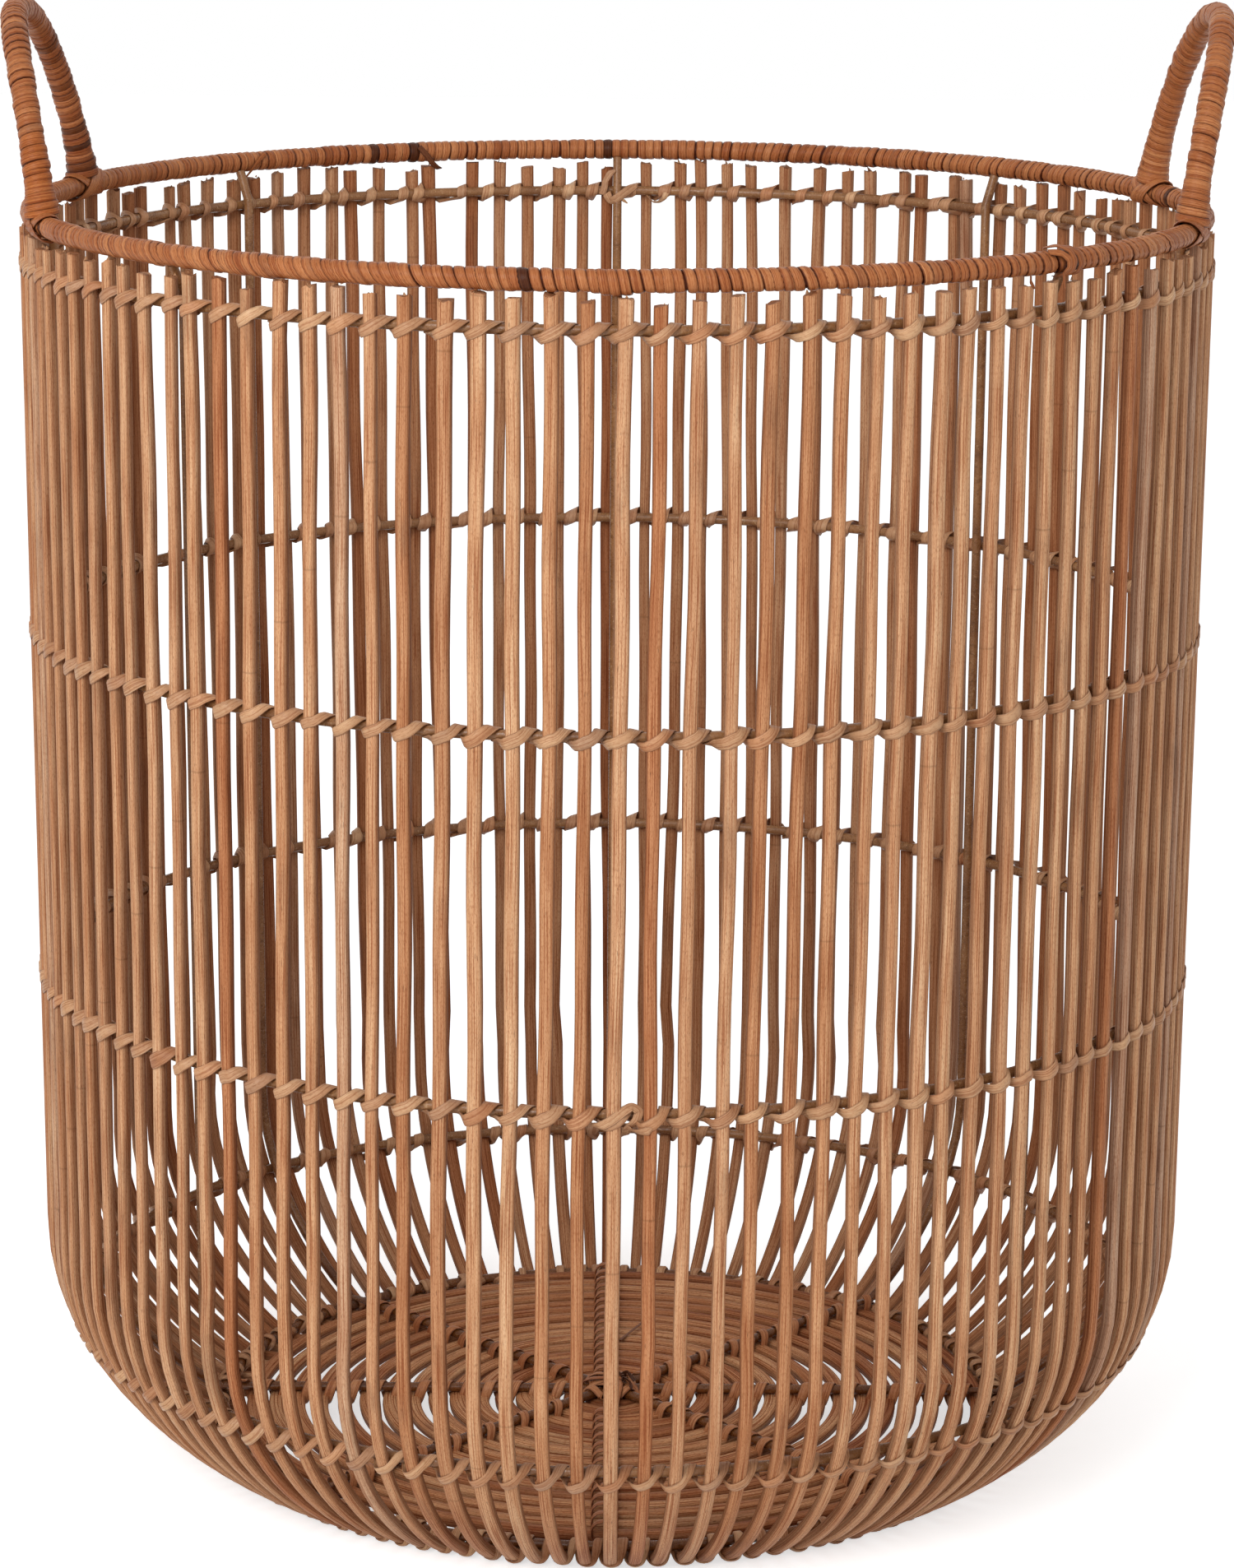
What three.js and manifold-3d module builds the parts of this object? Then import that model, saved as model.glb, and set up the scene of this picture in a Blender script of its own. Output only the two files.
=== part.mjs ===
// A round storage basket: a cage of upright canes, tied with peel to a frame of wire hoops,
// with a coiled cane floor, a bound rim and two bound handles.
// Millimetres, +Z up, standing on z = 0, with the handles on the X axis.
import * as THREE from "three";
import { mergeVertices } from "three/addons/utils/BufferGeometryUtils.js";
import Module from "manifold-3d";

const wasm = await Module();
wasm.setup();

// Driving sizes of the basket
const rimRadius = 224.5;
const rimHeight = 493;
const wallTopRadius = 229;
const wallFootRadius = 226.4;
const kneeHeight = 93;
const kneeSweep = 59;
const footRadius = 160.5;
const footSweep = 4.5;
const footLength = 10;

// Wire frame
const wireDiameter = 4;
const uprightDiameter = 3.8;
const uprightCount = 8;
const topHoopDrop = 17.5;
const midHoopShares = [0.627, 0.268];
const kneeHoopShare = 0.75;
const baseRingInset = 2.2;

// Canes of the wall
const caneCount = 112;
const canesPerPanel = 4;
const caneWidth = 5.2;
const caneThickness = 4.6;
const caneFaceShare = 0.5;
const caneTopDrop = 6;
const caneBendShares = [0, 0.45, kneeHoopShare, 0.97];

// Peel strip that ties the canes to the hoops
const peelThickness = 0.9;
const tieWidth = 3.6;
const tieReach = 4.2;
const tieRise = 2.2;
const tieSink = 0.5;
const tieNeckShare = 0.45;
const tieDriftShare = 0.15;
// Smallest edge kept where a tie runs into a cane
const seamTolerance = 0.12;

// Coiled floor
const coilLoops = 15.3;
const coilOuterRadius = 152.5;
const coilInnerRadius = 11;
const coilCaneWidth = 5.6;
const coilCaneThickness = 4.4;
const coilSteps = 296;
const coilStepPower = 2 / 3;

// Bound rim and handles
const rimWrapDiameter = 8.4;
const rimSplitWidth = 1.2;
const rimSplitAngle = -47;
const handleHalfAngle = 18;
const handleRise = 74.5;
const handleSpread = 5;
const handleSwingPower = 0.82;
const handleLiftPower = 1.4;
const handleCoreDiameter = 7.6;
const handleWrapDiameter = 10;

// Clearance kept between pieces that touch
const seat = 0.3;

// Facets: each ring has a corner a quarter of its side away from every cane
const ringSegments = caneCount / 2;
const rimSegments = 48;
const wireSides = 4;
const wrapSides = 6;
const handleSteps = 14;

const wireRadius = wireDiameter / 2;
const uprightRadius = uprightDiameter / 2;
const rimWrapRadius = rimWrapDiameter / 2;
const fullTurn = 2 * Math.PI;
const upAxis = new THREE.Vector3(0, 0, 1);
const rimWrapReach = rimWrapRadius * Math.sin(fullTurn / wrapSides);
const canePitch = fullTurn / caneCount;
const panelCount = caneCount / canesPerPanel;
const hoopDepth = caneThickness + seat + wireRadius;

const caneFinish = new THREE.MeshStandardMaterial({ color: 0xc8935f, roughness: 0.7, metalness: 0 });
const floorFinish = new THREE.MeshStandardMaterial({ color: 0xa8683c, roughness: 0.75, metalness: 0 });
const peelFinish = new THREE.MeshStandardMaterial({ color: 0xbd7641, roughness: 0.55, metalness: 0 });
const wireFinish = new THREE.MeshStandardMaterial({ color: 0x67543a, roughness: 0.45, metalness: 0.6 });

// The outer line of a cane, drawn in an upright plane as radius and height:
// flat foot, knee curve and a wall that opens slightly to the top
const knee = new THREE.CubicBezierCurve(
  new THREE.Vector2(footRadius, 0),
  new THREE.Vector2(footRadius + footSweep, 0),
  new THREE.Vector2(wallFootRadius, kneeHeight - kneeSweep),
  new THREE.Vector2(wallFootRadius, kneeHeight),
);
const wallFoot = new THREE.Vector2(wallFootRadius, kneeHeight);
const wallTop = new THREE.Vector2(wallTopRadius, rimHeight - caneTopDrop);
const wallLine = new THREE.Vector2().subVectors(wallTop, wallFoot).normalize();

function kneeStation(share) {
  return { at: knee.getPoint(share), along: knee.getTangent(share) };
}

function wallStation(height) {
  const climb = (height - kneeHeight) / wallLine.y;
  return { at: wallFoot.clone().addScaledVector(wallLine, climb), along: wallLine };
}

function footStation(radius) {
  return { at: new THREE.Vector2(radius, 0), along: new THREE.Vector2(1, 0) };
}

// A station moved towards the inside of the basket, square to the cane
function inward({ at, along }, depth) {
  return { at: new THREE.Vector2(at.x - along.y * depth, at.y + along.x * depth), along };
}

const topHoopHeight = rimHeight - topHoopDrop;
const midHoopHeights = midHoopShares.map((share) => kneeHeight + share * (topHoopHeight - kneeHeight));
const hoopStations = [
  wallStation(topHoopHeight),
  ...midHoopHeights.map(wallStation),
  kneeStation(kneeHoopShare),
].map((station) => inward(station, hoopDepth));
const baseRingStation = inward(footStation(footRadius - baseRingInset), hoopDepth);

function regularSection(radius, sides) {
  return Array.from({ length: sides }, (_, corner) => {
    const angle = fullTurn * corner / sides;
    return [radius * Math.cos(angle), radius * Math.sin(angle)];
  });
}

// A closed skin over a row of sections whose points are in the same order
function loft(sections) {
  const sides = sections[0].length;
  const last = (sections.length - 1) * sides;
  const index = [];
  for (let start = 0; start < last; start += sides) {
    for (let side = 0; side < sides; side++) {
      const a = start + side;
      const b = start + (side + 1) % sides;
      index.push(a, b, b + sides, a, b + sides, a + sides);
    }
  }
  for (let side = 1; side < sides - 1; side++) {
    index.push(0, side + 1, side, last, last + side, last + side + 1);
  }
  const geometry = new THREE.BufferGeometry().setFromPoints(sections.flat());
  geometry.setIndex(index);
  return geometry;
}

// A section carried through stations of one upright plane; its points are [outward, sideways]
function sweep(stations, section) {
  return loft(stations.map(({ at, along }) => section.map(([out, side]) => (
    new THREE.Vector3(at.x + along.y * out, side, at.y - along.x * out)
  ))));
}

function ring({ at }, radius, sides, segments, firstAngle) {
  const profile = regularSection(radius, sides).map(([out, up]) => new THREE.Vector2(at.x + out, at.y + up));
  const lathe = new THREE.LatheGeometry([...profile, profile[0]], segments, firstAngle);
  return lathe.rotateX(Math.PI / 2);
}

function toSolid(geometry) {
  const bare = new THREE.BufferGeometry();
  bare.setAttribute("position", geometry.getAttribute("position"));
  bare.setIndex(geometry.getIndex());
  const merged = mergeVertices(bare);
  return new wasm.Manifold(new wasm.Mesh({
    numProp: 3,
    vertProperties: merged.getAttribute("position").array,
    triVerts: new Uint32Array(merged.getIndex().array),
  }));
}

function toGeometry(solid) {
  const mesh = solid.getMesh();
  const geometry = new THREE.BufferGeometry();
  geometry.setAttribute("position", new THREE.BufferAttribute(mesh.vertProperties, 3));
  geometry.setIndex(new THREE.BufferAttribute(mesh.triVerts, 1));
  return geometry;
}

const basket = new THREE.Group();

function place(name, geometry, finish, turn = 0) {
  const mesh = new THREE.Mesh(geometry, finish);
  mesh.name = name;
  mesh.rotation.z = turn;
  basket.add(mesh);
}

// Hoops and base ring: closed rings of wire inside the canes
hoopStations.forEach((station, row) => {
  const hoop = ring(station, wireRadius, wireSides, ringSegments, canePitch / 2);
  place(`hoop_${row + 1}`, hoop, wireFinish);
});
place("base_ring", ring(baseRingStation, wireRadius, wireSides, ringSegments, canePitch / 2), wireFinish);

// How far the flat side of a ring lies inside its circle
function facetSag(radius) {
  return radius * (1 - Math.cos(Math.PI / ringSegments));
}

// Uprights: wires inside the hoops, bent in at the knee and on across the floor as spokes
const uprightDepth = hoopDepth + wireRadius + facetSag(wallTopRadius) + seat + uprightRadius;
const hubRadius = (uprightRadius + seat) / Math.tan(Math.PI / uprightCount);
const uprightTop = {
  at: new THREE.Vector2(rimRadius - uprightRadius, rimHeight - rimWrapReach - seat),
  along: new THREE.Vector2(0, 1),
};
const uprightStations = [
  footStation(hubRadius),
  ...caneBendShares.map(kneeStation),
  wallStation(topHoopHeight + wireRadius),
].map((station) => inward(station, uprightDepth));
uprightStations.push(uprightTop);
for (let count = 0; count < uprightCount; count++) {
  const wire = sweep(uprightStations, regularSection(uprightRadius, wireSides));
  place(`upright_${count + 1}`, wire, wireFinish, count * fullTurn / uprightCount);
}

// Floor: one cane wound in a flat spiral under the spokes
const spokeHeight = uprightDepth;
const coilHeight = spokeHeight - uprightRadius - seat - coilCaneThickness / 2;
const coilPitch = (coilOuterRadius - coilInnerRadius) / coilLoops;

function coilPoint(share) {
  const turns = coilLoops * share ** coilStepPower;
  const radius = coilInnerRadius + coilPitch * turns;
  const angle = fullTurn * turns;
  return { radius, angle };
}

const coilSection = [
  [coilCaneWidth / 2, -coilCaneThickness / 2],
  [coilCaneWidth / 2, coilCaneThickness / 2],
  [-coilCaneWidth / 2, coilCaneThickness / 2],
  [-coilCaneWidth / 2, -coilCaneThickness / 2],
];
const coilPlaces = Array.from({ length: coilSteps + 1 }, (_, step) => coilPoint(step / coilSteps));
const coil = loft(coilPlaces.map(({ radius, angle }) => coilSection.map(([out, up]) => (
  new THREE.Vector3((radius + out) * Math.cos(angle), (radius + out) * Math.sin(angle), coilHeight + up)
)).reverse()));
place("floor_coil", coil, floorFinish);

// The narrowest gap between neighbouring turns, measured from corner points to the chord outside
function coilLeastGap() {
  let least = Infinity;
  coilPlaces.forEach(({ radius, angle }, step) => {
    const next = coilPlaces.findIndex((other) => other.angle >= angle + fullTurn);
    if (next > 0) {
      const [a, b] = [coilPlaces[next - 1], coilPlaces[next]];
      const chord = Math.min(a.radius, b.radius) * Math.cos((b.angle - a.angle) / 2);
      least = Math.min(least, chord - radius - coilCaneWidth);
    }
  });
  return least;
}
console.log(`floor coil: least gap between turns ${coilLeastGap().toFixed(2)} mm`);

// Wall canes: split flat inside, crowned outside
const caneSection = [
  [0, -caneWidth / 2 * caneFaceShare],
  [0, caneWidth / 2 * caneFaceShare],
  [-caneThickness, caneWidth / 2],
  [-caneThickness, -caneWidth / 2],
];
const caneStations = [
  footStation(footRadius - footLength),
  ...caneBendShares.map(kneeStation),
  wallStation(wallTop.y),
];

// A peel strip wound once round the hoop for each cane: up across its face from lower left to
// upper right, over the hoop, down behind it between two canes, and out again to the next one
function tieStrip({ at, along }, canes) {
  const point = (angle, out, side, up) => {
    const radius = at.x + along.y * out + along.x * up;
    const height = at.y - along.x * out + along.y * up;
    return new THREE.Vector3(radius, side, height).applyAxisAngle(upAxis, angle);
  };
  const face = wireRadius + seat + caneThickness;
  const back = wireRadius + seat + facetSag(at.x);
  const slope = Math.atan2(tieRise, tieReach);
  const tall = tieWidth / 2 * Math.cos(slope);
  const lean = tieWidth / 2 * Math.sin(slope);
  const neck = tieWidth / 2 * tieNeckShare;
  const sections = [];
  for (let cane = 0; cane < canes; cane++) {
    for (const end of [-1, 1]) {
      const angle = cane * canePitch;
      const [side, up] = [end * tieReach, end * tieRise];
      sections.push([
        point(angle, face + peelThickness, side - lean, up + tall),
        point(angle, face + peelThickness, side + lean, up - tall),
        point(angle, face - tieSink, side, up),
      ]);
    }
    for (const end of [1, -1]) {
      const angle = (cane + (1 - end * tieDriftShare) / 2) * canePitch;
      sections.push([
        point(angle, -back - peelThickness, -neck, end * (back + peelThickness)),
        point(angle, -back - peelThickness, neck, end * (back + peelThickness)),
        point(angle, -back, 0, end * back),
      ]);
    }
  }
  return loft(sections);
}

// The wall: panels of canes held together by the tie along the top hoop
let panel = toSolid(tieStrip(hoopStations[0], canesPerPanel));
for (let cane = 0; cane < canesPerPanel; cane++) {
  panel = panel.add(toSolid(sweep(caneStations, caneSection).rotateZ(cane * canePitch)));
}
panel = panel.asOriginal().simplify(seamTolerance);
for (let count = 0; count < panelCount; count++) {
  place(`cane_panel_${count + 1}`, toGeometry(panel), caneFinish, count * canesPerPanel * canePitch);
}

// Rim: a wire ring in a sleeve of wound peel, which is split at its splice
const rimStation = { at: new THREE.Vector2(rimRadius, rimHeight) };
place("rim_wire", ring(rimStation, wireRadius, wireSides, rimSegments), wireFinish);
const rimBoreRadius = wireRadius + seat / Math.cos(Math.PI / wireSides);
const rimSplit = new THREE.BoxGeometry(rimWrapDiameter * 2, rimSplitWidth, rimWrapDiameter * 2);
rimSplit.translate(rimRadius, 0, rimHeight);
rimSplit.rotateZ(THREE.MathUtils.degToRad(rimSplitAngle));
const rimWrap = toSolid(ring(rimStation, rimWrapRadius, wrapSides, rimSegments))
  .subtract(toSolid(ring(rimStation, rimBoreRadius, wireSides, rimSegments)))
  .subtract(toSolid(rimSplit));
place("rim_wrap", toGeometry(rimWrap), peelFinish);

// Handles: a rod bowed over the rim, following its circle and leaning a little outwards,
// in a sleeve of wound peel
const handleFoot = rimHeight + rimWrapReach + seat;
const handleTop = rimHeight + handleRise;

class HandleLine extends THREE.Curve {
  getPoint(share, target = new THREE.Vector3()) {
    const bow = Math.PI * share;
    const swing = Math.sign(Math.cos(bow)) * Math.abs(Math.cos(bow)) ** handleSwingPower;
    const lift = Math.sin(bow) ** handleLiftPower;
    const angle = THREE.MathUtils.degToRad(handleHalfAngle) * swing;
    const radius = rimRadius + handleSpread * lift;
    const height = THREE.MathUtils.lerp(handleFoot, handleTop, lift);
    return target.set(radius * Math.cos(angle), radius * Math.sin(angle), height);
  }
}

function polygon(radius, sides, Kind = THREE.Shape) {
  return new Kind(regularSection(radius, sides).map(([x, y]) => new THREE.Vector2(x, y)));
}

function sleeve(line, outerDiameter, boreDiameter, steps) {
  const shape = polygon(outerDiameter / 2, wrapSides);
  if (boreDiameter > 0) {
    shape.holes.push(polygon(boreDiameter / 2, wrapSides, THREE.Path));
  }
  return new THREE.ExtrudeGeometry(shape, { steps, extrudePath: line });
}

const handleLine = new HandleLine();
["right", "left"].forEach((side, count) => {
  const turn = count * Math.PI;
  const bore = handleCoreDiameter + 2 * seat;
  place(`handle_core_${side}`, sleeve(handleLine, handleCoreDiameter, 0, handleSteps), wireFinish, turn);
  place(`handle_wrap_${side}`, sleeve(handleLine, handleWrapDiameter, bore, handleSteps), peelFinish, turn);
});

export default basket;
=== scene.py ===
import math

import bpy
import numpy as np
from mathutils import Matrix, Vector


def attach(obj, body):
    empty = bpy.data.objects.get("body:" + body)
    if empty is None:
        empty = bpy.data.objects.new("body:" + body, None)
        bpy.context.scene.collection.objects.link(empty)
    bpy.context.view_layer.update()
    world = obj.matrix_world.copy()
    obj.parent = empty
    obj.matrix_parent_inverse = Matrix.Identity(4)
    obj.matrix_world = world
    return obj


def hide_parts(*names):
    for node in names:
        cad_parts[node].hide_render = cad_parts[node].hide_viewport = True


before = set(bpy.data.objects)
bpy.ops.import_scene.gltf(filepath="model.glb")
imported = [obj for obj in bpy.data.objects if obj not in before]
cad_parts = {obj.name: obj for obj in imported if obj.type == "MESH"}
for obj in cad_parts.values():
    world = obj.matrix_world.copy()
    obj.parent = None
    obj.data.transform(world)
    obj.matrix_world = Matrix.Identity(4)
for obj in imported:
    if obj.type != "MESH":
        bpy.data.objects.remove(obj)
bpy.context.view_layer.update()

# The camera stands where the photographer's did: almost two metres in front of the basket and a
# little above its rim, looking slightly down through a long lens.
camera_place = Vector((0, -1.865, 0.7005))
looks_down, looks_right, leans = (math.radians(a) for a in (13.153, 0.04, 0.36))
focal_pixels, frame_pixels, sensor_size = 5875, 1906, 36
ahead = Vector((math.sin(looks_right) * math.cos(looks_down),
                math.cos(looks_right) * math.cos(looks_down),
                -math.sin(looks_down)))
level_right = Vector((math.cos(looks_right), -math.sin(looks_right), 0))
level_up = level_right.cross(ahead)
to_right = math.cos(leans) * level_right + math.sin(leans) * level_up
to_top = math.cos(leans) * level_up - math.sin(leans) * level_right
camera = bpy.data.objects.new("camera", bpy.data.cameras.new("camera"))
camera.data.sensor_width = sensor_size
camera.data.lens = sensor_size * focal_pixels / frame_pixels
camera.matrix_world = Matrix((to_right, to_top, -ahead)).transposed().to_4x4()
camera.location = camera_place
bpy.context.collection.objects.link(camera)
bpy.context.scene.camera = camera


# Hoops and base ring: round steel wire, painted dark bronze and bent into closed rings. Four
# hoops lie inside the wall canes, and the smaller base ring lies on the canes' turned-in feet.
rim_radius, rim_height = 0.2245, 0.493
wall_top_radius, wall_foot_radius = 0.229, 0.2264
wall_top, knee_height, knee_sweep = rim_height - 0.0085, 0.093, 0.059
foot_radius, foot_sweep = 0.1605, 0.0045
cane_count, cane_thickness = 112, 0.0046
wire_diameter, clearance = 0.004, 0.0003
hoop_depth = cane_thickness + clearance + wire_diameter / 2
top_hoop_height = rim_height - 0.0175
mid_hoop_shares, knee_hoop_share, base_ring_inset = (0.627, 0.268), 0.75, 0.0022
crisp_bend = 0.9


def knee_place(share):
    """Point and direction on the outer line of a cane's knee, in an upright plane."""
    ends = np.array([(foot_radius, 0), (foot_radius + foot_sweep, 0),
                     (wall_foot_radius, knee_height - knee_sweep), (wall_foot_radius, knee_height)])
    back = 1 - share
    at = np.array([back ** 3, 3 * back ** 2 * share, 3 * back * share ** 2, share ** 3]) @ ends
    along = np.array([back ** 2, 2 * back * share, share ** 2]) @ np.diff(ends, axis=0)
    return at, along / np.linalg.norm(along)


def wall_place(height):
    """Point and direction on the outer line of a cane's straight wall part."""
    rise = np.array([wall_top_radius - wall_foot_radius, wall_top - knee_height])
    rise /= np.linalg.norm(rise)
    at = np.array([wall_foot_radius, knee_height]) + rise * (height - knee_height) / rise[1]
    return at, rise


def foot_place(radius):
    """Point and direction on the flat foot of a cane."""
    return np.array([radius, 0.0]), np.array([1.0, 0.0])


def inward(place, depth):
    """A place moved towards the inside of the basket, square to the cane."""
    at, along = place
    return at + depth * np.array([-along[1], along[0]]), along


mid_hoop_heights = [knee_height + share * (top_hoop_height - knee_height) for share in mid_hoop_shares]
hoop_places = [inward(place, hoop_depth) for place in (
    wall_place(top_hoop_height), *map(wall_place, mid_hoop_heights), knee_place(knee_hoop_share))]
base_ring_place = inward(foot_place(foot_radius - base_ring_inset), hoop_depth)


def set_inputs(tree, node, inputs):
    """Fills a node's inputs with values, or joins them to sockets and to other nodes."""
    for name, value in inputs.items():
        if isinstance(value, bpy.types.Node):
            value = value.outputs[0]
        if isinstance(value, bpy.types.NodeSocket):
            tree.links.new(value, node.inputs[name])
        else:
            node.inputs[name].default_value = value
    return node


def add_node(tree, kind, inputs=None, **settings):
    """A node with its settings made and its inputs filled or joined."""
    node = tree.nodes.new(kind)
    for name, value in settings.items():
        setattr(node, name, value)
    return set_inputs(tree, node, inputs or {})


def calc(tree, operation, first, second=0.0, third=0.0):
    """One step of arithmetic in a node tree."""
    return add_node(tree, "ShaderNodeMath", {0: first, 1: second, 2: third}, operation=operation)


def times(tree, first, second):
    """Two values multiplied in a node tree."""
    return calc(tree, "MULTIPLY", first, second)


def vector(tree, **parts):
    """A vector put together from its parts in a node tree."""
    return add_node(tree, "ShaderNodeCombineXYZ", parts)


def start_tree(name, sizes):
    """A geometry tree with a named input for each size, and those inputs as sockets."""
    tree = bpy.data.node_groups.new(name, "GeometryNodeTree")
    for way in ("INPUT", "OUTPUT"):
        tree.interface.new_socket("Geometry", in_out=way, socket_type="NodeSocketGeometry")
    kinds = {float: "NodeSocketFloat", int: "NodeSocketInt"}
    for label, start in sizes.items():
        socket = tree.interface.new_socket(label, in_out="INPUT", socket_type=kinds[type(start)])
        socket.default_value = start
    tree.interface.new_socket("Finish", in_out="INPUT", socket_type="NodeSocketMaterial")
    return tree, tree.nodes.new("NodeGroupInput").outputs


def end_tree(tree, shape, finish):
    """The tree's last steps: plain mesh, smooth faces with crisp corners, and the finish."""
    plain = add_node(tree, "GeometryNodeRealizeInstances", {"Geometry": shape})
    smooth = add_node(tree, "GeometryNodeSetShadeSmooth", {"Geometry": plain})
    bend = add_node(tree, "GeometryNodeInputMeshEdgeAngle").outputs["Unsigned Angle"]
    crisp = add_node(tree, "GeometryNodeSetShadeSmooth", {
        "Geometry": smooth, "Selection": calc(tree, "GREATER_THAN", bend, crisp_bend),
        "Shade Smooth": False}, domain="EDGE")
    done = add_node(tree, "GeometryNodeSetMaterial", {"Geometry": crisp, "Material": finish})
    add_node(tree, "NodeGroupOutput", {"Geometry": done})
    return tree


def make_piece(name, tree, sizes, replaced=(), path=None):
    """Runs a tree once and keeps its result as a plain piece that rides on the basket."""
    piece = bpy.data.objects.new(name, path or bpy.data.meshes.new(name))
    bpy.context.collection.objects.link(piece)
    grow = piece.modifiers.new("grow", "NODES")
    grow.node_group = tree
    for socket in tree.interface.items_tree:
        if socket.name in sizes:
            grow[socket.identifier] = sizes[socket.name]
    grown = piece.evaluated_get(bpy.context.evaluated_depsgraph_get())
    solid = bpy.data.meshes.new_from_object(grown)
    piece.modifiers.clear()
    piece.data = solid
    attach(piece, "root")
    if replaced:
        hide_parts(*replaced)


def paint(red, green, blue):
    """A colour as a paint card gives it, 0 to 255, in the linear values that a shader wants."""
    card = np.array([red, green, blue]) / 255
    linear = np.where(card <= 0.04045, card / 12.92, ((card + 0.055) / 1.055) ** 2.4)
    return (*linear, 1)


def blend(tree, amount, under, over, way="MIX"):
    """Two colours mixed by an amount."""
    inputs = {0: amount, 6: under, 7: over}
    return add_node(tree, "ShaderNodeMix", inputs, data_type="RGBA", blend_type=way).outputs[2]


def rescale(tree, value, low, high, to_low=0.0, to_high=1.0):
    """A value carried from one range to another and kept inside it."""
    inputs = {"Value": value, "From Min": low, "From Max": high, "To Min": to_low, "To Max": to_high}
    return add_node(tree, "ShaderNodeMapRange", inputs)


def coats(tree, colour, rows):
    """Colours laid over a first one. Each row has a pattern, its values where the coat begins and
    where it is full, how much covers there, the colour, and the way of mixing if it isn't plain."""
    for pattern, low, high, amount, over, *way in rows:
        colour = blend(tree, rescale(tree, pattern, low, high, 0.0, amount), colour, over, *way)
    return colour


def noise(tree, place, scale, detail=2.0, roughness=0.5):
    """A noise pattern read at a place."""
    inputs = {"Vector": place, "Scale": scale, "Detail": detail, "Roughness": roughness}
    return add_node(tree, "ShaderNodeTexNoise", inputs).outputs["Fac"]


def start_finish(name):
    """A material with its surface shader."""
    finish = bpy.data.materials.new(name)
    finish.use_nodes = True
    return finish, finish.node_tree, finish.node_tree.nodes["Principled BSDF"]


def wire_finish():
    """Bronze paint on steel: cloudy and satin, with soot and pale worn flecks, and with painted
    shade that darkens it near the floor.
    """
    finish, tree, surface = start_finish("bronze_painted_wire")
    place = add_node(tree, "ShaderNodeTexCoord").outputs["Object"]
    height = add_node(tree, "ShaderNodeSeparateXYZ", {0: place}).outputs["Z"]
    grain = noise(tree, place, 1500.0)
    colour = coats(tree, paint(124, 82, 50), (
        (noise(tree, place, 45.0, 4.0), 0.35, 0.65, 1.0, paint(156, 110, 70)),
        (noise(tree, place, 420.0, 3.0, 0.65), 0.54, 0.64, 0.4, paint(84, 48, 24)),
        (noise(tree, place, 700.0, 3.0, 0.65), 0.58, 0.68, 0.5, paint(196, 160, 118)),
        # painted shade: the wire darkens towards the floor
        (height, 0.05, 0.02, 1.0, paint(196, 170, 138), "MULTIPLY")))
    bump = add_node(tree, "ShaderNodeBump", {"Height": grain, "Strength": 0.45, "Distance": 0.0002})
    set_inputs(tree, surface, {"Base Color": colour, "Roughness": rescale(tree, grain, 0.3, 0.7, 0.2, 0.38),
                               "Specular IOR Level": 0.32, "Normal": bump})
    return finish


def wire_section(tree, size):
    """The round section that a wire is drawn through."""
    return add_node(tree, "GeometryNodeCurvePrimitiveCircle", {
        "Resolution": size["Wire corners"], "Radius": times(tree, size["Wire diameter"], 0.5)})


bronze_wire = wire_finish()
tree, size = start_tree("wire_ring", {"Ring radius": 0.2, "Ring height": 0.0, "Ring corners": 224,
                                      "Wire diameter": 0.004, "Wire corners": 10})
circle = add_node(tree, "GeometryNodeCurvePrimitiveCircle",
                  {"Resolution": size["Ring corners"], "Radius": size["Ring radius"]})
raised = add_node(tree, "GeometryNodeSetPosition",
                  {"Geometry": circle, "Offset": vector(tree, Z=size["Ring height"])})
ring = add_node(tree, "GeometryNodeCurveToMesh", {"Curve": raised, "Profile Curve": wire_section(tree, size)})
ring_tree = end_tree(tree, ring, size["Finish"])

ring_names = [*(f"hoop_{row + 1}" for row in range(len(hoop_places))), "base_ring"]
for node, (at, along) in zip(ring_names, [*hoop_places, base_ring_place]):
    ring_sizes = {"Ring radius": float(at[0]), "Ring height": float(at[1]),
                  "Wire diameter": wire_diameter, "Finish": bronze_wire}
    make_piece(f"{node}_wire", ring_tree, ring_sizes, [node])


# Uprights: eight straight wires inside the hoops. Each bends in at the knee and runs on over the
# floor as a spoke, and all meet at the middle, so the frame is one welded cage.
upright_diameter, upright_count = 0.0038, 8
facet_sag = wall_top_radius * (1 - math.cos(2 * math.pi / cane_count))
upright_depth = hoop_depth + wire_diameter / 2 + facet_sag + clearance + upright_diameter / 2
rim_wrap_radius, bite_in_rim, bite_in_hoop = 0.0042, 0.0006, 0.002
hub_radius = (upright_diameter / 2 + clearance) / math.tan(math.pi / upright_count)
wall_heights = np.linspace(0.14, top_hoop_height + bite_in_hoop, 8)
upright_line = [inward(place, upright_depth)[0] for place in (
    *(foot_place(radius) for radius in (hub_radius, 0.08, 0.14)),
    *(knee_place(share) for share in np.linspace(0, 1, 15)),
    *(wall_place(height) for height in wall_heights))]
upright_line.append((rim_radius - upright_diameter / 2, rim_height - rim_wrap_radius + bite_in_rim))
upright_path = bpy.data.meshes.new("upright_path")
upright_path.from_pydata([(radius, 0, height) for radius, height in upright_line],
                         [(n, n + 1) for n in range(len(upright_line) - 1)], [])

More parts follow.
